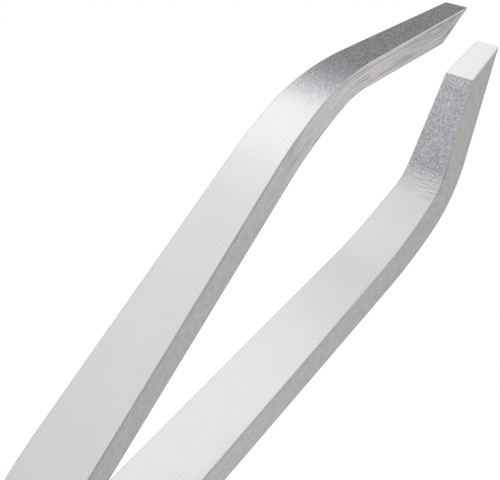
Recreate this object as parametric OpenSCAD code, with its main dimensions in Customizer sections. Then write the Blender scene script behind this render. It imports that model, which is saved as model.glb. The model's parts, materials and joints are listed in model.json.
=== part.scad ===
// Tweezers with square bent tips: two sprung steel arms, spot-welded together at the rear, in mm.
// They lie on their narrow edges. +X points to the tips, +Y is the left arm's side, and +Z is up,
// across the arms' width. The origin is under the middle of the box that holds them.
// Slopes are in degrees from the middle plane, on the left arm: positive spreads, negative closes.

/* [Overall] */
// Length from the rear end to the tips
overall_length = 96; // [92:1:98]
// Thickness of an arm from the finger grip to the tip
strip_thickness = 1.7; // [1.5:0.1:1.9]
// Width of an arm from the rear end to the finger grip
strip_width = 8.8; // [8:0.1:9.4]

/* [Arm profile] */
// Slope of an arm's straight stretch
arm_slope = 6.45; // [6.2:0.05:6.6]
// Radius of the bow in the inner face, behind the crease
bow_radius = 37; // [32:1:42]
// Slope of the inner face where it reaches the crease
crease_slope = -7; // [-8.5:0.5:-5.5]
// Slope of the bent tip
tip_slope = -26.4; // [-28:0.2:-25]
// Length of the inner face from the crease to the gripping facet
tip_length = 8.9; // [8.5:0.1:9.5]
// Radius of the outer face's shoulder, over the crease
shoulder_radius = 15; // [12:0.5:17]
// Angle that an arm turns through from rest until the tips meet
squeeze_angle = 2; // [1.8:0.05:2.2]

/* [Arm width] */
// Distance from the rear end to the corner where the lower edge starts to rise and narrow the arm
taper_start = 48; // [46:0.5:50]
// Radius that rounds this corner
taper_radius = 40; // [30:5:60]
// Distance from the rear end to where the width narrows faster
bend_station = 81.5; // [79:0.5:84]
// Width there
bend_width = 5.25; // [4.9:0.05:5.6]
// Width at the tip
tip_width = 2.6; // [2.3:0.1:3]

/* [Rear end] */
// Thickness of an arm where the two are welded together
tang_thickness = 1.6; // [1.4:0.1:1.8]
// Thickness of an arm where it flexes
flex_thickness = 0.9; // [0.8:0.1:1.2]
// Radius of the inner face where the arms part
parting_radius = 60; // [45:5:70]
// Distance from the rear end to the middle of the flexing stretch
flex_station = 26; // [25:0.5:27]
// Distance from the rear end to where an arm has its full thickness again
full_station = 48; // [44:1:52]
// Radius of the rear end's corners
rear_corner_radius = 2.5; // [1.5:0.5:3.5]

/* [Spot welds] */
// Number of welds
weld_count = 2; // [1:1:2]
// Distance from the rear end to the first weld
weld_inset = 4.5; // [4:0.5:5]
// Distance between welds
weld_pitch = 6; // [5.5:0.5:6.5]
// Diameter of the fused steel
nugget_diameter = 3.6; // [3:0.2:4]
// Depth of the fused steel in each arm
nugget_depth = 0.6; // [0.4:0.1:0.8]
// Diameter of the dimple that the electrode leaves in the outer face
dimple_diameter = 2.6; // [2:0.2:3]
// Depth of the dimple
dimple_depth = 0.12; // [0.05:0.01:0.2]

/* [Hidden] */
$fn = 48;

steel = [0.80, 0.80, 0.81];
weld_grey = [0.62, 0.62, 0.64];

// Gap that is left between the gripping facets when the tips meet
closed_gap = 0.02;
// Clearance round the nose that stands for the flexing stretch
flex_clearance = 0.03;
// Length on each side of the flexing station that has its least thickness
flex_half_length = 2;
// Length past an outline's end that a cutting shape runs on for
overrun = 1;
// Segments in each kind of arc
arc_steps = 10;

half_width = strip_width / 2;
flex_radius = flex_thickness / 2;

// Unit vectors along a slope and square to it, on its outer side
function along(a) = [cos(a), sin(a)];
function outward(a) = [-sin(a), cos(a)];
// Points round a centre, where a is the slope of the surface at each point
function face_arc(centre, r, a0, a1) =
    [for (i = [0:arc_steps]) centre + r * outward(a0 + (a1 - a0) * i / arc_steps)];
function clamp01(t) = max(0, min(1, t));
function ease(t) = clamp01(t) * clamp01(t) * (3 - 2 * clamp01(t));
function mix(a, b, t) = a + (b - a) * t;

// The profile is worked out backward from the tip. The facet's slope at rest is the squeeze angle,
// so the two facets are parallel when the arms have turned through it.
facet_angle = squeeze_angle - tip_slope;
facet_length = strip_thickness / sin(facet_angle);
facet_from_x = overall_length - facet_length * cos(squeeze_angle);

// Places measured from the facet's inner edge
crease_offset = -tip_length * along(tip_slope);
bow_centre_offset = crease_offset - bow_radius * outward(crease_slope);
bow_start_offset = bow_centre_offset + bow_radius * outward(arm_slope);
flex_rise = bow_start_offset[1]
    + tan(arm_slope) * (flex_station - facet_from_x - bow_start_offset[0])
    + flex_radius / cos(arm_slope);

// Half of the tip's opening, such that a turn by the squeeze angle just closes it
facet_from = [
    facet_from_x,
    closed_gap / 2 + (facet_from_x - flex_station) * sin(squeeze_angle)
        - flex_rise * (1 - cos(squeeze_angle))
];
facet_to = facet_from + facet_length * along(squeeze_angle);
crease = facet_from + crease_offset;
bow_centre = facet_from + bow_centre_offset;
bow_start = facet_from + bow_start_offset;
flex_centre = [flex_station, facet_from[1] + flex_rise];

// The shoulder is tangent to the bow's outer arc and to the tip's outer face
bow_outer_radius = bow_radius + strip_thickness;
shoulder_slope = tip_slope + acos(
    (strip_thickness - shoulder_radius - (bow_centre - crease) * outward(tip_slope))
    / (bow_outer_radius - shoulder_radius));
shoulder_centre = bow_centre + (bow_outer_radius - shoulder_radius) * outward(shoulder_slope);

// The arms touch up to the tang's end, then part round an arc that meets the straight stretch
parting_x = bow_start[0] - bow_start[1] / tan(arm_slope);
tang_length = parting_x - parting_radius * tan(arm_slope / 2);
parting_end = [tang_length, parting_radius] - parting_radius * outward(arm_slope);

function thickness(x) =
    x < flex_station
    ? mix(tang_thickness, flex_thickness,
        ease((x - tang_length) / (flex_station - flex_half_length - tang_length)))
    : mix(flex_thickness, strip_thickness,
        ease((x - flex_station - flex_half_length) / (full_station - flex_station - flex_half_length)));

// Slope and place of the inner face at x, up to the bow
function inner_slope(x) =
    x <= tang_length ? 0 : x >= parting_end[0] ? arm_slope : asin((x - tang_length) / parting_radius);
function inner_point(x) =
    x <= tang_length ? [x, 0]
    : x >= parting_end[0] ? [x, (x - parting_x) * tan(arm_slope)]
    : [x, parting_radius * (1 - cos(inner_slope(x)))];
function outer_point(x) = inner_point(x) + thickness(x) * outward(inner_slope(x));

// Points of the rounded nose and of the hollow that it turns in, from the outer face to the inner one
lip = sqrt(pow(flex_radius + flex_clearance, 2) - pow(flex_radius, 2));
lip_turn = atan2(flex_radius, lip);
function nose() =
    [for (i = [0:arc_steps * 2])
        flex_centre + flex_radius * outward(arm_slope + 180 * i / (arc_steps * 2))];
function hollow() =
    [for (i = [0:arc_steps * 2])
        flex_centre + (flex_radius + flex_clearance)
            * along(arm_slope + 180 - lip_turn + 2 * lip_turn * i / (arc_steps * 2))];

function stations(from, to, count) = [for (i = [0:count]) mix(from, to, i / count)];

module front_profile() {
    inner_face = concat(face_arc(bow_centre, bow_radius, arm_slope, crease_slope), [facet_from]);
    shoulder = face_arc(shoulder_centre, shoulder_radius, tip_slope, shoulder_slope);
    bow_outer = face_arc(bow_centre, bow_outer_radius, shoulder_slope, arm_slope);
    thinned = [for (x = stations(full_station, flex_station + flex_half_length, arc_steps)) outer_point(x)];
    polygon(concat(inner_face, [facet_to], shoulder,
        [for (i = [1:arc_steps]) bow_outer[i]], thinned, nose()));
}

module rear_profile() {
    inner_face = [for (x = stations(parting_end[0], tang_length, arc_steps)) inner_point(x)];
    outer_face = [for (x = stations(tang_length, flex_station - flex_half_length, arc_steps)) outer_point(x)];
    polygon(concat([[0, 0], [0, tang_thickness]], outer_face, hollow(), inner_face));
}

// The outline seen from the arm's wide side: rounded rear corners, a straight upper edge, and a lower
// edge that rises to the tip in two straight stretches, the first of them with a rounded start
module width_outline() {
    corner = [for (a = [180:-15:90])
        [rear_corner_radius, half_width - rear_corner_radius] + rear_corner_radius * [cos(a), sin(a)]];
    taper_angle = atan((strip_width - bend_width) / (bend_station - taper_start));
    taper_arc_start = taper_start - taper_radius * tan(taper_angle / 2);
    taper = [for (i = [0:arc_steps])
        [taper_arc_start, taper_radius - half_width]
            - taper_radius * outward(taper_angle * i / arc_steps)];
    tip_rise = (bend_width - tip_width) / (overall_length - bend_station);
    tip = [
        [bend_station, half_width - bend_width],
        [overall_length + overrun, half_width - tip_width + tip_rise * overrun]
    ];
    lower = concat([for (p = corner) [p[0], -p[1]]], taper, tip);
    upper = concat(corner, [[overall_length + overrun, half_width]]);
    polygon(concat(upper, [for (i = [len(lower) - 1:-1:0]) lower[i]]));
}

// An arm's stretch: the profile over the full width, cut to the outline
module strip() {
    intersection() {
        translate([0, 0, -half_width - overrun])
            linear_extrude(strip_width + 2 * overrun) children();
        rotate([90, 0, 0])
            translate([0, 0, -overall_length])
                linear_extrude(2 * overall_length) width_outline();
    }
}

// From the profile's own place to the frame: middle of the length, lower edges at z = 0
module place() {
    translate([-overall_length / 2, 0, half_width]) children();
}

module at_welds() {
    for (i = [0:weld_count - 1])
        translate([weld_inset + weld_pitch * i, 0, 0]) children();
}

module nugget() {
    rotate([90, 0, 0]) cylinder(h = 2 * nugget_depth, d = nugget_diameter, center = true);
}

module dimple() {
    ball = (pow(dimple_diameter / 2, 2) + pow(dimple_depth, 2)) / (2 * dimple_depth);
    translate([0, tang_thickness - dimple_depth + ball, 0]) sphere(ball);
}

module arm_front() {
    color(steel) place() strip() front_profile();
}

module arm_rear() {
    color(steel) place()
        difference() {
            strip() rear_profile();
            at_welds() nugget();
            at_welds() dimple();
        }
}

module left_arm_front() {
    arm_front();
}

module right_arm_front() {
    mirror([0, 1, 0]) arm_front();
}

module left_arm_rear() {
    arm_rear();
}

module right_arm_rear() {
    mirror([0, 1, 0]) arm_rear();
}

module spot_welds() {
    color(weld_grey) place() at_welds() nugget();
}

left_arm_front();
right_arm_front();
left_arm_rear();
right_arm_rear();
spot_welds();
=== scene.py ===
"""Looks of the spring tweezers with square bent tips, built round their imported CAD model.

Lengths are in metres in the CAD's frame: +X to the tips, +Y to the left arm, and +Z up, across the
arms' width. An arm's profile is worked out in the XY plane with x measured from the rear end, as in
part.scad. Each arm's upper edge is straight, and its lower edge rises toward the tip.
"""

import json
import math

import bmesh
import bpy
import numpy as np
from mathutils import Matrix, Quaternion, Vector


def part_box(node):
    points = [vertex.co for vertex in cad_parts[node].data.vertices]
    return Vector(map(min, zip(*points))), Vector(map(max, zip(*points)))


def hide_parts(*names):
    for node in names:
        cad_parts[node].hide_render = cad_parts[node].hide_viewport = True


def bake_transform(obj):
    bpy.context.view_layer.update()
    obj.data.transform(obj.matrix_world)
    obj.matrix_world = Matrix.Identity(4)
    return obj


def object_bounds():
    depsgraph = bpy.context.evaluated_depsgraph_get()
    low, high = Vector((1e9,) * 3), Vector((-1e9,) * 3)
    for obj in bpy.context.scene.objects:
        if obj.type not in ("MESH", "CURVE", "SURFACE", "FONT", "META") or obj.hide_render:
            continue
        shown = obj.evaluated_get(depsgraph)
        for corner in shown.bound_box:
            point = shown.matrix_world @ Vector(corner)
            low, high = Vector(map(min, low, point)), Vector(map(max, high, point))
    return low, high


MM = 0.001

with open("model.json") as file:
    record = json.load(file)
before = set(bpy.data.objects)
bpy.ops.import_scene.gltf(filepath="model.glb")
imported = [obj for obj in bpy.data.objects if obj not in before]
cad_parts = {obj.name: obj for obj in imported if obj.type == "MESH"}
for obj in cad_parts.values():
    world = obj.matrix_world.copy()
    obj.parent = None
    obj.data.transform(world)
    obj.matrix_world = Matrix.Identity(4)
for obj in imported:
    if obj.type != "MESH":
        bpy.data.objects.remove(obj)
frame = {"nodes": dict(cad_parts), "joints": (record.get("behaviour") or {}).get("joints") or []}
cad_low, cad_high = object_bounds()
flex_joint = next(j for j in frame["joints"] if j["name"] == "left_arm_flex")

# ---------------------------------------------------------------- dimensions, as in part.scad

LENGTH = cad_high.x - cad_low.x
STRIP_WIDTH = cad_high.z - cad_low.z
STRIP_THICKNESS = 1.7 * MM
ARM_SLOPE = math.radians(6.45)
BOW_RADIUS = 37 * MM
CREASE_SLOPE = math.radians(-7)
TIP_SLOPE = math.radians(-26.4)
TIP_LENGTH = 8.9 * MM
SHOULDER_RADIUS = 15 * MM
SQUEEZE_ANGLE = math.radians(flex_joint["range_deg"][1])
CLOSED_GAP = 0.02 * MM

TAPER_START = 48 * MM
TAPER_RADIUS = 40 * MM
BEND_STATION = 81.5 * MM
BEND_WIDTH = 5.25 * MM
TIP_WIDTH = 2.6 * MM

TANG_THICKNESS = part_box("left_arm_rear")[1].y
FLEX_THICKNESS = 0.9 * MM
PARTING_RADIUS = 60 * MM
FLEX_STATION = flex_joint["pos_m"][0] - cad_low.x
FLEX_HALF_LENGTH = 2 * MM
FULL_STATION = 48 * MM
REAR_CORNER_RADIUS = 2.5 * MM

WELD_INSET = 4.5 * MM
WELD_PITCH = 6 * MM
WELD_COUNT = 2
DIMPLE_RADIUS = 1.3 * MM
DIMPLE_DEPTH = 0.12 * MM
DIMPLE_RIM = 0.02 * MM

# ---------------------------------------------------------------- finishing that only the looks need

EDGE_RADIUS = 0.09 * MM
EDGE_RADIUS_SHARE = 0.3         # of the local thickness, at most
CREASE_FILLET = 1.2 * MM
FACET_FILLET = 0.05 * MM
TIP_FLAT_SETBACK = 0.1 * MM
TIP_CORNER_LENGTH = 0.3 * MM
TIP_CORNER_INSET = 0.10 * MM
DIMPLE_RIM_AT = 1.12            # in dimple radii, as is the rim's width
DIMPLE_RIM_WIDTH = 0.12

WRINKLE_HALF_WIDTH = 0.065 * MM
WRINKLE_REACH = 1.1 * MM
WRINKLE_WAVER = 0.05 * MM
WRINKLE_WAVE = 0.45 * MM        # across the arm, for one radian of the waver
WRINKLE_PHASE = 9               # radians for each mm between two marks, so that they waver apart
# Each press mark at the inner crease, in mm: place past it, slant, middle across the arm, and depth
WRINKLES = [
    (-1.10, -0.04, 2.0, 0.014),
    (-0.86, -0.05, 1.6, 0.022),
    (-0.60, -0.08, 1.2, 0.026),
    (-0.38, -0.03, 1.6, 0.024),
    (-0.15, -0.08, 0.5, 0.022),
    (0.07, -0.02, 1.4, 0.022),
    (0.30, -0.07, -0.1, 0.018),
    (0.56, -0.03, 0.6, 0.014),
    (0.84, -0.06, -0.4, 0.010),
]

# Distances between the mesh's sections along an arm
WELD_STEP = 0.2 * MM
ARM_STEP = 0.45 * MM
BOW_STEP = 0.5 * MM
SHOULDER_STEP = 0.045 * MM
TIP_STEP = 0.4 * MM
FACET_STEP = 0.16 * MM
TIP_END_STEP = 0.04 * MM
TIP_END_LENGTH = 0.4 * MM
LAST_STEP = 0.01 * MM
REAR_CORNER_STEPS = 16

# Vertices closer than this are one
MERGE_DISTANCE = 1e-8


# ---------------------------------------------------------------- profile of the left arm

def along(a):
    return np.array([math.cos(a), math.sin(a)])


def outward(a):
    return np.array([-math.sin(a), math.cos(a)])


def ease(t):
    t = np.clip(t, 0, 1)
    return t * t * (3 - 2 * t)


def mix(a, b, t):
    return a + (b - a) * t


facet_angle = SQUEEZE_ANGLE - TIP_SLOPE
facet_length = STRIP_THICKNESS / math.sin(facet_angle)
crease_offset = -TIP_LENGTH * along(TIP_SLOPE)
bow_centre_offset = crease_offset - BOW_RADIUS * outward(CREASE_SLOPE)
bow_start_offset = bow_centre_offset + BOW_RADIUS * outward(ARM_SLOPE)
facet_from_x = LENGTH - facet_length * math.cos(SQUEEZE_ANGLE)
flex_rise = (bow_start_offset[1]
             + math.tan(ARM_SLOPE) * (FLEX_STATION - facet_from_x - bow_start_offset[0])
             + FLEX_THICKNESS / 2 / math.cos(ARM_SLOPE))
facet_from = np.array([
    facet_from_x,
    CLOSED_GAP / 2 + (facet_from_x - FLEX_STATION) * math.sin(SQUEEZE_ANGLE)
    - flex_rise * (1 - math.cos(SQUEEZE_ANGLE)),
])
crease = facet_from + crease_offset
bow_centre = facet_from + bow_centre_offset
bow_start = facet_from + bow_start_offset

bow_outer_radius = BOW_RADIUS + STRIP_THICKNESS
shoulder_slope = TIP_SLOPE + math.acos(
    (STRIP_THICKNESS - SHOULDER_RADIUS - (bow_centre - crease) @ outward(TIP_SLOPE))
    / (bow_outer_radius - SHOULDER_RADIUS))
shoulder_centre = bow_centre + (bow_outer_radius - SHOULDER_RADIUS) * outward(shoulder_slope)

parting_x = bow_start[0] - bow_start[1] / math.tan(ARM_SLOPE)
tang_length = parting_x - PARTING_RADIUS * math.tan(ARM_SLOPE / 2)
parting_end_x = tang_length + PARTING_RADIUS * math.sin(ARM_SLOPE)

taper_angle = math.atan((STRIP_WIDTH - BEND_WIDTH) / (BEND_STATION - TAPER_START))
taper_arc_start = TAPER_START - TAPER_RADIUS * math.tan(taper_angle / 2)


def thickness(x):
    """Thickness of the arm behind the bow."""
    if x < FLEX_STATION:
        t = (x - tang_length) / (FLEX_STATION - FLEX_HALF_LENGTH - tang_length)
        return mix(TANG_THICKNESS, FLEX_THICKNESS, ease(t))
    t = (x - FLEX_STATION - FLEX_HALF_LENGTH) / (FULL_STATION - FLEX_STATION - FLEX_HALF_LENGTH)
    return mix(FLEX_THICKNESS, STRIP_THICKNESS, ease(t))


def section_behind_bow(x):
    """Inner and outer point of the section whose inner point is at x."""
    if x <= tang_length:
        slope, inner = 0.0, np.array([x, 0.0])
    elif x < parting_end_x:
        slope = math.asin((x - tang_length) / PARTING_RADIUS)
        inner = np.array([x, PARTING_RADIUS * (1 - math.cos(slope))])
    else:
        slope, inner = ARM_SLOPE, np.array([x, (x - parting_x) * math.tan(ARM_SLOPE)])
    return inner, inner + thickness(x) * outward(slope)


def section_of_bow(a):
    """Section at slope a of the concentric bow."""
    return bow_centre + BOW_RADIUS * outward(a), bow_centre + bow_outer_radius * outward(a)


def section_of_shoulder(a):
    """Section along the shoulder's radius at slope a.

    Its inner point is on the bow or, past the crease, on the tip's inner face."""
    ray = outward(a)
    to_bow = shoulder_centre - bow_centre
    half_b = to_bow @ ray
    on_bow = -half_b + math.sqrt(half_b ** 2 - to_bow @ to_bow + BOW_RADIUS ** 2)
    on_tip = (crease - shoulder_centre) @ outward(TIP_SLOPE) / (ray @ outward(TIP_SLOPE))
    return shoulder_centre + min(on_bow, on_tip) * ray, shoulder_centre + SHOULDER_RADIUS * ray


def rounded_corner(corner, before, after, reach, d):
    """Place d past a corner between two unit directions, on a parabola within reach of the corner."""
    if abs(d) >= reach:
        return corner + (before if d < 0 else after) * d
    t = (d + reach) / (2 * reach)
    return corner - before * reach * (1 - t) ** 2 + after * reach * t ** 2


def width(x):
    """The arm's width at x, apart from the rear corners."""
    if x < taper_arc_start:
        return STRIP_WIDTH
    reach = x - taper_arc_start
    if reach < TAPER_RADIUS * math.sin(taper_angle):
        return STRIP_WIDTH - (TAPER_RADIUS - math.sqrt(TAPER_RADIUS ** 2 - reach ** 2))
    if x < BEND_STATION:
        return mix(BEND_WIDTH, STRIP_WIDTH, (BEND_STATION - x) / (BEND_STATION - TAPER_START))
    return mix(BEND_WIDTH, TIP_WIDTH, (x - BEND_STATION) / (LENGTH - BEND_STATION))


# ---------------------------------------------------------------- sections of an arm's mesh

def spread(start, end, step):
    """Evenly spaced values from start up to, not including, end."""
    count = max(1, round(abs(end - start) / step))
    return [mix(start, end, i / count) for i in range(count)]


def strip_sections():
    """Inner and outer point of each section from the rear corners' end to just before the facet."""
    welds_end = WELD_INSET + WELD_PITCH * WELD_COUNT
    behind_bow = (spread(REAR_CORNER_RADIUS, welds_end, WELD_STEP)
                  + spread(welds_end, bow_start[0], ARM_STEP))
    rows = [section_behind_bow(x) for x in behind_bow]
    rows += [section_of_bow(a) for a in spread(ARM_SLOPE, shoulder_slope, BOW_STEP / BOW_RADIUS)]
    for a in spread(shoulder_slope, TIP_SLOPE, SHOULDER_STEP / SHOULDER_RADIUS):
        inner, outer = section_of_shoulder(a)
        d = math.copysign(np.linalg.norm(inner - crease), inner[0] - crease[0])
        if abs(d) < CREASE_FILLET:
            inner = rounded_corner(crease, along(CREASE_SLOPE), along(TIP_SLOPE), CREASE_FILLET, d)
        rows.append((inner, outer))
    inner, outer = section_of_shoulder(TIP_SLOPE)
    # The straight stretch ends well before the fillet to the facet
    straight = (facet_from - inner) @ along(TIP_SLOPE) - 4 * FACET_FILLET
    rows += [(inner + d * along(TIP_SLOPE), outer + d * along(TIP_SLOPE))
             for d in spread(0, straight, TIP_STEP) + [straight]]
    return rows


def facet_sections():
    """Inner and outer point of each section at the facet, and its kind: the first is still strip."""
    facet_end = facet_length - TIP_FLAT_SETBACK * math.cos(facet_angle)
    outer_length = facet_length * math.cos(facet_angle) - TIP_FLAT_SETBACK
    outer_from = facet_from + STRIP_THICKNESS * outward(TIP_SLOPE)
    tip_end = facet_end - TIP_END_LENGTH
    places = [
        -2 * FACET_FILLET,
        *spread(-FACET_FILLET, FACET_FILLET, FACET_FILLET / 3),
        FACET_FILLET,
        *spread(3 * FACET_FILLET, tip_end, FACET_STEP),
        *spread(tip_end, facet_end - LAST_STEP, TIP_END_STEP),
        facet_end - LAST_STEP,
        facet_end,
    ]
    rows = []
    for d in places:
        inner = rounded_corner(facet_from, along(TIP_SLOPE), along(SQUEEZE_ANGLE), FACET_FILLET, d)
        outer = outer_from + along(TIP_SLOPE) * (d if d < 0 else outer_length * d / facet_end)
        rows.append((inner, outer, "facet" if d >= -FACET_FILLET else "strip"))
    return rows


def arm_rows():
    """Every section of an arm from the rear end to the tip.

    Each has its inner and outer point, its kind, the shares of the edge radius's inset that go along
    the arm and across it, and the width that the rear corners leave, or None in front of them."""
    rows = []
    for b in spread(math.pi / 2, 0, math.pi / 2 / REAR_CORNER_STEPS):
        x = REAR_CORNER_RADIUS * (1 - math.sin(b))
        corner_width = STRIP_WIDTH - 2 * REAR_CORNER_RADIUS * (1 - math.cos(b))
        rows.append((*section_behind_bow(x), "strip", math.sin(b), math.cos(b), corner_width))
    rows += [(inner, outer, "strip", 0.0, 1.0, None) for inner, outer in strip_sections()]
    rows += [(inner, outer, kind, 0.0, 1.0, None) for inner, outer, kind in facet_sections()]
    return rows


# Where the points of a section lie: across a wide face, through a narrow edge, and round an arris
FACE_COLUMNS = np.array([-1, -0.985, -0.95, *np.linspace(-0.88, 0.88, 23), 0.95, 0.985, 1])
EDGE_COLUMNS = np.array([-1, -0.92, -0.6, -0.2, 0.2, 0.6, 0.92, 1])
ROUND_ANGLES = np.radians([22.5, 45, 67.5])


def section_loop():
    """One turn round a section: up the inner face, over, down the outer face, and under.

    Each point has its place through the thickness, from -1 on the inner face to 1 on the outer one;
    its rounding, from 0 on a wide face to 1 on a narrow edge; its inset, the share of the edge radius
    by which it stays inside the width; its place across the width, from -1 to 1; and its part."""
    quarter = [(1 - math.cos(r), 1 - math.sin(r)) for r in ROUND_ANGLES]
    loop = [(-1, 0, 1, f, "inner") for f in FACE_COLUMNS]
    loop += [(-1, r, i, 1, "round") for r, i in quarter]
    loop += [(c, 1, 0, 1, "edge") for c in EDGE_COLUMNS]
    loop += [(1, r, i, 1, "round") for r, i in reversed(quarter)]
    loop += [(1, 0, 1, f, "outer") for f in FACE_COLUMNS[::-1]]
    loop += [(1, r, i, -1, "round") for r, i in quarter]
    loop += [(c, 1, 0, -1, "edge") for c in EDGE_COLUMNS[::-1]]
    loop += [(-1, r, i, -1, "round") for r, i in reversed(quarter)]
    return loop


def dimple_depth_at(x, w):
    """How far the electrode marks press the outer face in, with a faint raised rim."""
    depth = 0.0
    for i in range(WELD_COUNT):
        r = math.hypot(x - WELD_INSET - WELD_PITCH * i, w) / DIMPLE_RADIUS
        if r < 1:
            depth += DIMPLE_DEPTH * (1 - r * r)
        depth -= DIMPLE_RIM * math.exp(-((r - DIMPLE_RIM_AT) / DIMPLE_RIM_WIDTH) ** 2)
    return depth


def wrinkle_at(s, w):
    """Height of the press marks along the inner crease; s is the distance past the crease."""
    height = 0.0
    for place, slant, middle, depth in WRINKLES:
        waver = WRINKLE_WAVER * math.sin(w / WRINKLE_WAVE + WRINKLE_PHASE * place)
        line = place * MM + slant * w + waver
        shape = math.exp(-((s - line) / WRINKLE_HALF_WIDTH) ** 2)
        height += depth * MM * shape * math.exp(-((w - middle * MM) / WRINKLE_REACH) ** 2)
    return height


def tip_corner_inset(x):
    """How far the narrow edges are drawn in where the tip's two corners are rounded off."""
    t = (x - LENGTH + TIP_FLAT_SETBACK + TIP_CORNER_LENGTH) / TIP_CORNER_LENGTH
    return TIP_CORNER_INSET * max(0.0, t) ** 2


def across(x, corner_width):
    """Middle and half of the arm's width at x; the middle is measured from the full strip's."""
    if corner_width is not None:
        return 0.0, corner_width / 2
    half = width(x) / 2
    return STRIP_WIDTH / 2 - half, half - tip_corner_inset(x)


# ---------------------------------------------------------------- an arm's mesh

OUTER_FACE, INNER_FACE, EDGE, FACET, ARRIS = range(5)

# What a vertex's seven numbers are; the grain and the station are in mm
PLACE, GRAIN, STATION = slice(0, 3), slice(3, 6), 6


def arm_vertices(rows, loop, side, grain_shift):
    """The vertices of every section."""
    middle = np.array([(inner + outer) / 2 for inner, outer, *_ in rows])
    steps = np.linalg.norm(np.diff(middle, axis=0), axis=1)
    stations = np.concatenate([[0], np.cumsum(steps)])
    crease_station = np.interp(crease[0], middle[:, 0], stations)

    vertices = []
    for (inner, outer, kind, inset_x, inset_w, corner_width), s in zip(rows, stations):
        local = np.linalg.norm(outer - inner)
        through = (outer - inner) / local
        radius = min(EDGE_RADIUS, EDGE_RADIUS_SHARE * local)
        for sign, rounding, inset, fraction, part in loop:
            v = sign * (1 - 2 * radius * rounding / local)
            place = mix(inner, outer, (v + 1) / 2) + np.array([inset_x * inset * radius, 0])
            middle_w, half = across(place[0], corner_width)
            w = middle_w + fraction * (half - inset_w * inset * radius)
            if part == "outer":
                place = place - through * dimple_depth_at(place[0], w)
            if part == "inner" and kind == "strip":
                place = place - through * wrinkle_at(s - crease_station, w - middle_w)
            grain = s / MM + grain_shift, w / MM, v * local / 2 / MM
            vertices.append(np.array([place[0], side * place[1], w, *grain, s / MM]))
    return vertices


def slot_between(part, next_part, kind):
    """Material slot of the face between two neighbouring points of the loop."""
    parts = {part, next_part}
    if "round" in parts:
        return ARRIS
    if "edge" in parts:
        return EDGE
    if "outer" in parts:
        return OUTER_FACE
    return FACET if kind == "facet" else INNER_FACE


def side_faces(rows, loop):
    """The faces between neighbouring sections, and their material slots."""
    turn = len(loop)
    faces, slots = [], []
    for r, (_, _, kind, *_) in enumerate(rows[:-1]):
        for k in range(turn):
            n = (k + 1) % turn
            faces.append((r * turn + k, r * turn + n, (r + 1) * turn + n, (r + 1) * turn + k))
            slots.append(slot_between(loop[k][-1], loop[n][-1], kind))
    return faces, slots


def end_faces(vertices, first, turn):
    """The faces that close the section whose first vertex is given; adds the vertices inside them.

    Each row of vertices runs from the lower edge to the upper one. The first row is on the inner
    face, and the last is on the outer face."""
    columns = len(FACE_COLUMNS)
    half_turn = turn // 2
    grid = [[first + k for k in range(columns)]]
    for k in range(columns, half_turn):
        lower, upper = first + turn - (k - columns + 1), first + k
        line = [lower]
        for f in FACE_COLUMNS[1:-1]:
            line.append(len(vertices))
            vertices.append(mix(vertices[lower], vertices[upper], (f + 1) / 2))
        grid.append(line + [upper])
    grid.append([first + half_turn + k for k in reversed(range(columns))])
    return [(here[j], here[j + 1], there[j + 1], there[j])
            for here, there in zip(grid, grid[1:]) for j in range(columns - 1)]


def face_outward(arm):
    """Merges the vertices that coincide, and turns every face outward."""
    bm = bmesh.new()
    bm.from_mesh(arm.data)
    bmesh.ops.remove_doubles(bm, verts=bm.verts, dist=MERGE_DISTANCE)
    bmesh.ops.recalc_face_normals(bm, faces=bm.faces)
    bm.to_mesh(arm.data)
    bm.free()


def make_arm(name, side, grain_shift):
    """One arm in one piece; side is 1 for the left arm and -1 for the right one."""
    rows, loop = arm_rows(), section_loop()
    turn = len(loop)
    vertices = arm_vertices(rows, loop, side, grain_shift)
    faces, slots = side_faces(rows, loop)
    for first, slot in ((0, EDGE), ((len(rows) - 1) * turn, FACET)):
        end = end_faces(vertices, first, turn)
        faces += end
        slots += [slot] * len(end)

    mesh = bpy.data.meshes.new(name)
    offset = Vector((cad_low.x, 0, (cad_low.z + cad_high.z) / 2))
    mesh.from_pydata([Vector(vertex[PLACE]) + offset for vertex in vertices], [], faces)
    mesh.polygons.foreach_set("material_index", slots)
    mesh.polygons.foreach_set("use_smooth", [True] * len(faces))
    values = np.array(vertices, np.float32)
    grain = mesh.attributes.new("grain", "FLOAT_VECTOR", "POINT")
    grain.data.foreach_set("vector", values[:, GRAIN].flatten())
    station = mesh.attributes.new("station", "FLOAT", "POINT")
    station.data.foreach_set("value", values[:, STATION].flatten())
    mesh.validate()
    arm = bpy.data.objects.new(name, mesh)
    bpy.context.scene.collection.objects.link(arm)
    face_outward(arm)
    return arm


# ---------------------------------------------------------------- node trees

class Tree:
    """A node tree, with short calls to add nodes to it and to link them."""

    def __init__(self, owner):
        owner.use_nodes = True
        self.nodes = owner.node_tree.nodes
        self.links = owner.node_tree.links

    def add(self, kind, **settings):
        node = self.nodes.new(kind)
        for key, value in settings.items():
            setattr(node, key, value)
        return node

    def link(self, source, target):
        self.links.new(source, target)

    def maths(self, operation, *values):
        """A maths node's result; each value is a number or another node's output."""
        node = self.add("ShaderNodeMath", operation=operation)
        for socket, value in zip(node.inputs, values):
            if isinstance(value, (int, float)):
                socket.default_value = value
            else:
                self.link(value, socket)
        return node.outputs["Value"]


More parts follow.
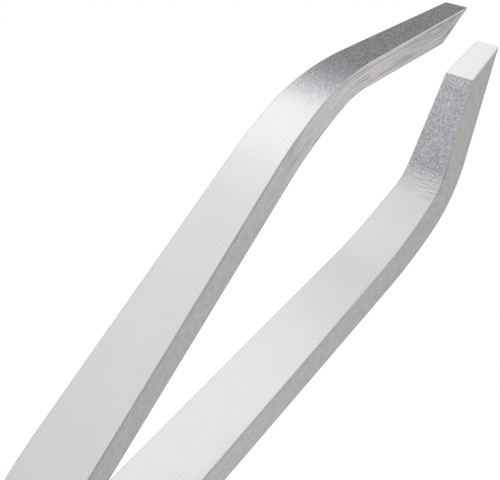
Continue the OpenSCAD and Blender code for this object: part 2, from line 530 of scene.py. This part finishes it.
class Metal(Tree):
    """A metal's node tree, with short calls for the few nodes that these metals use."""

    def __init__(self, name):
        self.material = bpy.data.materials.new(name)
        super().__init__(self.material)
        self.shader = self.nodes["Principled BSDF"]
        self.shader.inputs["Metallic"].default_value = 1.0

    def grain(self, scale):
        """The arm's own coordinates in mm, along, across and through it, times scale."""
        source = self.add("ShaderNodeAttribute", attribute_name="grain")
        mapping = self.add("ShaderNodeMapping")
        mapping.inputs["Scale"].default_value = scale
        self.link(source.outputs["Vector"], mapping.inputs["Vector"])
        return mapping.outputs["Vector"]

    def noise(self, scale, detail, roughness=0.5):
        """Noise in the arm's grain; scale is per mm along, across and through it."""
        node = self.add("ShaderNodeTexNoise")
        node.inputs["Scale"].default_value = 1.0
        node.inputs["Detail"].default_value = detail
        node.inputs["Roughness"].default_value = roughness
        self.link(self.grain(scale), node.inputs["Vector"])
        return node.outputs["Fac"]

    def remap(self, source, from_range, to_range, **settings):
        node = self.add("ShaderNodeMapRange", **settings)
        keys = ("From Min", "From Max", "To Min", "To Max")
        for key, value in zip(keys, (*from_range, *to_range)):
            node.inputs[key].default_value = value
        self.link(source, node.inputs["Value"])
        return node.outputs["Result"]

    def along_arm(self, stretch, before=0.0, after=1.0):
        """A value that changes smoothly over a stretch of the arm, in mm from its rear end."""
        station = self.add("ShaderNodeAttribute", attribute_name="station")
        return self.remap(station.outputs["Fac"], stretch, (before, after),
                          interpolation_type="SMOOTHSTEP")

    def colour(self, source, stops):
        node = self.add("ShaderNodeValToRGB")
        ramp = node.color_ramp
        while len(ramp.elements) < len(stops):
            ramp.elements.new(0.5)
        for element, (position, rgb) in zip(ramp.elements, stops):
            element.position = position
            element.color = (*rgb, 1)
        self.link(source, node.inputs["Fac"])
        return node.outputs["Color"]

    def mix(self, factor, a, b):
        node = self.add("ShaderNodeMix", data_type="RGBA")
        for key, value in (("Factor", factor), ("A", a), ("B", b)):
            self.link(value, node.inputs[key])
        return node.outputs["Result"]

    def bump(self, source, distance, strength=1.0, onto=None):
        node = self.add("ShaderNodeBump")
        node.inputs["Distance"].default_value = distance
        node.inputs["Strength"].default_value = strength
        self.link(source, node.inputs["Height"])
        if onto is not None:
            self.link(onto, node.inputs["Normal"])
        return node.outputs["Normal"]

    def shade(self, colour, roughness, normal=None):
        """Links the metal's colour, roughness and normal, and returns its material."""
        self.link(colour, self.shader.inputs["Base Color"])
        self.link(roughness, self.shader.inputs["Roughness"])
        if normal is not None:
            self.link(normal, self.shader.inputs["Normal"])
        return self.material


def grey(tone):
    return (tone, tone, tone)


# ---------------------------------------------------------------- materials

# Nearly all values of a noise lie between these two
LOW, HIGH = 0.3, 0.7

# Stretches of an arm, in mm from its rear end, over which its finish or its painted light changes
# painted highlight on the outer face by the bend
OUTER_PAINTED_HIGHLIGHT = (72, 78)
OUTER_SPECKS = (80.9, 84.9)
# painted shade on the inner face by the bend
INNER_PAINTED_SHADE = (67, 75)
INNER_SPECKS = (84.4, 85.9)
# painted highlight on the arrises past the bend
ARRIS_PAINTED_HIGHLIGHT = (84, 89)
# painted light on the narrow edges: the tone turns from the grip's to the bend's, set for each arm
EDGE_PAINTED_TONE = (54, 84)
EDGE_GRINDING = (70, 84)
# the painted sheen on the ground edges fades to the tip's darker tone
EDGE_SHEEN_FADE = (84, 96)

# Tones by the bend, painted light: a painted highlight on the outer face and painted shade on the inner
# one
OUTER_HIGHLIGHT_TONE = 0.87
INNER_SHADE_TONE = 0.71
FLECK_CONTRAST = 0.07
MOTTLE_SCALE = 1500             # per metre


def satin_steel(name, painted_bend_tone, bend, specks):
    """Wide faces: fine glass-bead blasting with faint clouds in its tone, and speckled past the bend.

    Over the stretch bend the tone turns to the tone given for the bend, which is painted light: a
    painted highlight on the outer face and painted shade on the inner one. The speckle sets in over
    specks."""
    m = Metal(name)
    beads = m.noise(scale=(6.5, 6.5, 6.5), detail=1, roughness=0.6)
    clouds = m.noise(scale=(0.35, 0.35, 0.35), detail=2)
    straight = m.colour(clouds, [(LOW, (0.78, 0.78, 0.785)), (HIGH, grey(0.80))])
    # the tone by the bend is painted light: a painted highlight on the outer face, painted shade on the
    # inner one
    painted_by_bend = m.colour(clouds, [(LOW, grey(painted_bend_tone - 0.01)), (HIGH, grey(painted_bend_tone + 0.01))])
    plain = m.mix(m.along_arm(bend), straight, painted_by_bend)
    speckled = m.colour(beads, [
        (0.28, (0.42, 0.42, 0.465)),
        (0.50, (0.73, 0.73, 0.78)),
        (0.72, (0.99, 0.99, 1.0)),
    ])
    return m.shade(
        colour=m.mix(m.along_arm(specks, before=0.06, after=0.9), plain, speckled),
        roughness=m.remap(clouds, (LOW, HIGH), (0.26, 0.29)),
        normal=m.bump(beads, distance=0.006 * MM))


def brushed_steel(name, painted_grip_tone, painted_bend_tone, coarseness):
    """Narrow edges: drawn lengthwise, and ground round the bend and past it with coarse lines. The
    drawn tone at the grip and by the bend is painted light, set for each arm; the ground lines carry a
    painted sheen, brightest at the bend and darker toward the tip.

    coarseness says how much of the grinding shows: 0 is none, and 1 is all of it."""
    m = Metal(name)
    streaks = m.noise(scale=(0.28, 0.3, 8.0), detail=4, roughness=0.7)
    bands = m.noise(scale=(0.11, 0.3, 0.8), detail=1)
    fine = m.noise(scale=(0.5, 0.5, 25.0), detail=1)
    flecks = m.noise(scale=(1.8, 1.8, 5.0), detail=2, roughness=0.6)

    def flecked(tone):
        dark = tone - FLECK_CONTRAST
        return m.colour(flecks, [(LOW, (dark, dark, dark - 0.01)), (HIGH, grey(tone + FLECK_CONTRAST))])

    # painted light: the edge's tone turns from the grip's to the bend's, set for each arm
    drawn = m.mix(m.along_arm(EDGE_PAINTED_TONE), flecked(painted_grip_tone), flecked(painted_bend_tone))
    # painted sheen: ground lines brightest at the bend, darker toward the tip
    ground_painted_sheen = m.colour(streaks, [
        (0.36, (0.64, 0.60, 0.59)),
        (0.48, (1.0, 0.97, 0.96)),
        (0.62, (1.0, 1.0, 1.0)),
    ])
    ground_at_tip = m.colour(streaks, [
        (0.36, (0.46, 0.44, 0.43)),
        (0.50, (0.78, 0.76, 0.75)),
        (0.64, (0.95, 0.94, 0.93)),
    ])
    ground = m.mix(m.along_arm(EDGE_SHEEN_FADE), ground_painted_sheen, ground_at_tip)
    coarse = m.along_arm(EDGE_GRINDING, after=coarseness)
    rough = m.bump(m.maths("MULTIPLY", coarse, streaks), distance=0.035 * MM)
    return m.shade(
        colour=m.mix(coarse, drawn, ground),
        roughness=m.remap(bands, (LOW, HIGH), (0.32, 0.38)),
        normal=m.bump(fine, distance=0.012 * MM, onto=rough))


def polished_steel():
    """Rounded arrises between wide faces and narrow edges, with nicks: darker before the bend, and a
    painted highlight past it.
    """
    m = Metal("polished_steel")
    nicks = m.noise(scale=(1.5, 4.0, 4.0), detail=2)
    # painted shade before the bend, painted highlight past it
    dull = m.colour(nicks, [(LOW, (0.44, 0.44, 0.45)), (0.6, grey(0.50))])
    bright = m.colour(nicks, [(LOW, (0.60, 0.60, 0.61)), (0.6, grey(0.68))])
    return m.shade(
        colour=m.mix(m.along_arm(ARRIS_PAINTED_HIGHLIGHT), dull, bright),
        roughness=m.remap(nicks, (LOW, HIGH), (0.18, 0.26)),
        normal=m.bump(nicks, distance=0.004 * MM))


def ground_steel():
    """Gripping facets: ground flat, with fine lines across the tip."""
    m = Metal("ground_steel")
    lines = m.noise(scale=(16.0, 0.4, 16.0), detail=2)
    return m.shade(
        colour=m.colour(lines, [(LOW, grey(0.97)), (HIGH, grey(1.0))]),
        roughness=m.remap(lines, (LOW, HIGH), (0.28, 0.32)),
        normal=m.bump(lines, distance=0.002 * MM, strength=0.4))


def weld_steel():
    """Fused steel between the arms: dull and mottled."""
    m = Metal("weld_steel")
    noise = m.add("ShaderNodeTexNoise")
    noise.inputs["Scale"].default_value = MOTTLE_SCALE
    mottle = noise.outputs["Fac"]
    return m.shade(
        colour=m.colour(mottle, [(LOW, (0.45, 0.44, 0.44)), (HIGH, (0.60, 0.60, 0.62))]),
        roughness=m.remap(mottle, (LOW, HIGH), (0.45, 0.6)))


# ---------------------------------------------------------------- camera, floor and light

CAMERA_AIM = Vector((24.353, 0, 0.965)) * MM
CAMERA_AZIMUTH = -164.444
CAMERA_ELEVATION = 50.761
CAMERA_ROLL = 114.206
CAMERA_DISTANCE = 150.72 * MM
CAMERA_LENS = 136.543           # in mm, as is the sensor's width
CAMERA_SENSOR = 36
CLIP_START = 0.005
CLIP_END = 10

TABLE_RADIUS = 1.5
TABLE_HEIGHT = -0.00002
BACKDROP_RADIUS = 2.5
STAGE_BRIGHTNESS = 1.0

# Each softbox: azimuth and elevation in degrees, narrowness, and brightness
SOFTBOXES = [
    (156, -51, 32, 0.94),
    (172, -52, 50, 0.06),
    (193, -51, 30, 0.49),
    (201, -51, 30, 0.15),
    (15, 51, 10, 0.47),
    (175, 25, 5, 0.70),
    (130, 30, 6, 1.10),
    (-45, -18, 6, 0.64),
    (-135, 20, 6, 0.40),
    (140, 0, 7, 0.32),
    (8, -20, 8, 0.36),
    (-90, 10, 6, 0.24),
    (90, 0, 6, 0.20),
]
ROOM_LIGHT = 0.22


def direction(azimuth, elevation):
    """Unit vector from the object to a viewer; azimuth 0 is at -Y and 90 at +X, in degrees."""
    a, e = math.radians(azimuth), math.radians(elevation)
    return Vector((math.sin(a) * math.cos(e), -math.cos(a) * math.cos(e), math.sin(e)))


def make_camera():
    data = bpy.data.cameras.new("camera")
    data.lens = CAMERA_LENS
    data.sensor_width = CAMERA_SENSOR
    data.clip_start = CLIP_START
    data.clip_end = CLIP_END
    camera = bpy.data.objects.new("camera", data)
    back = direction(CAMERA_AZIMUTH, CAMERA_ELEVATION)
    camera.location = CAMERA_AIM + back * CAMERA_DISTANCE
    camera.rotation_mode = "QUATERNION"
    roll = Quaternion((0, 0, 1), math.radians(CAMERA_ROLL))
    camera.rotation_quaternion = (-back).to_track_quat("-Z", "Y") @ roll
    bpy.context.scene.collection.objects.link(camera)
    bpy.context.scene.camera = camera


def glowing(name, brightness):
    """A material that only glows."""
    material = bpy.data.materials.new(name)
    tree = Tree(material)
    tree.nodes.clear()
    glow = tree.add("ShaderNodeEmission")
    glow.inputs["Strength"].default_value = brightness
    output = tree.add("ShaderNodeOutputMaterial")
    tree.link(glow.outputs["Emission"], output.inputs["Surface"])
    return material


def make_stage():
    """A white glowing table top that merges with a white backdrop, as on a light table."""
    white = glowing("white_table", STAGE_BRIGHTNESS)
    bpy.ops.mesh.primitive_circle_add(
        vertices=96, radius=TABLE_RADIUS, fill_type="NGON", location=(0, 0, TABLE_HEIGHT))
    table = bpy.context.object
    table.name = "table_top"
    bpy.ops.mesh.primitive_uv_sphere_add(segments=64, ring_count=32, radius=BACKDROP_RADIUS)
    backdrop = bpy.context.object
    backdrop.name = "backdrop"
    for obj in (table, backdrop):
        obj.data.materials.append(white)
        obj.visible_diffuse = False
        obj.visible_glossy = False
        obj.visible_transmission = False
        obj.visible_shadow = False


def make_light():
    """Studio light all round: an even room with broad, soft-edged boxes of light in it."""
    world = bpy.data.worlds.new("studio")
    bpy.context.scene.world = world
    tree = Tree(world)
    tree.nodes.clear()
    where = tree.add("ShaderNodeTexCoord").outputs["Generated"]
    total = ROOM_LIGHT
    for azimuth, elevation, narrowness, brightness in SOFTBOXES:
        facing = tree.add("ShaderNodeVectorMath", operation="DOT_PRODUCT")
        tree.link(where, facing.inputs[0])
        facing.inputs[1].default_value = direction(azimuth, elevation)
        away = tree.maths("SUBTRACT", facing.outputs["Value"], 1.0)
        fall = tree.maths("EXPONENT", tree.maths("MULTIPLY", away, narrowness))
        total = tree.maths("ADD", tree.maths("MULTIPLY", fall, brightness), total)
    background = tree.add("ShaderNodeBackground")
    background.inputs["Color"].default_value = (1, 1, 1, 1)
    output = tree.add("ShaderNodeOutputWorld")
    tree.link(total, background.inputs["Strength"])
    tree.link(background.outputs["Background"], output.inputs["Surface"])


# ---------------------------------------------------------------- put together

make_camera()
make_stage()
make_light()
bpy.context.scene.view_settings.view_transform = "Standard"

satin_outer = satin_steel("satin_steel_outer", OUTER_HIGHLIGHT_TONE, OUTER_PAINTED_HIGHLIGHT, OUTER_SPECKS)
satin_inner = satin_steel("satin_steel_inner", INNER_SHADE_TONE, INNER_PAINTED_SHADE, INNER_SPECKS)
ground = ground_steel()
polished = polished_steel()
# Side, shift of the grain in mm, tones of the narrow edges at the grip and by the bend, which are
# painted light set for each arm, coarseness
ARMS = {
    "left": (1, 0, 0.72, 0.72, 1.0),
    "right": (-1, 211, 0.79, 0.70, 0.0),
}
for hand, (side, grain_shift, painted_grip_tone, painted_bend_tone, coarseness) in ARMS.items():
    arm = make_arm(f"{hand}_arm_strip", side, grain_shift)
    brushed = brushed_steel(f"brushed_steel_{hand}", painted_grip_tone, painted_bend_tone, coarseness)
    # In the order of the slots: outer face, inner face, edge, facet, arris
    for metal in (satin_outer, satin_inner, brushed, ground, polished):
        arm.data.materials.append(metal)
    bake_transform(arm)
    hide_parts(f"{hand}_arm_rear", f"{hand}_arm_front")

welds = frame["nodes"]["spot_welds"]
welds.data.materials.clear()
welds.data.materials.append(weld_steel())
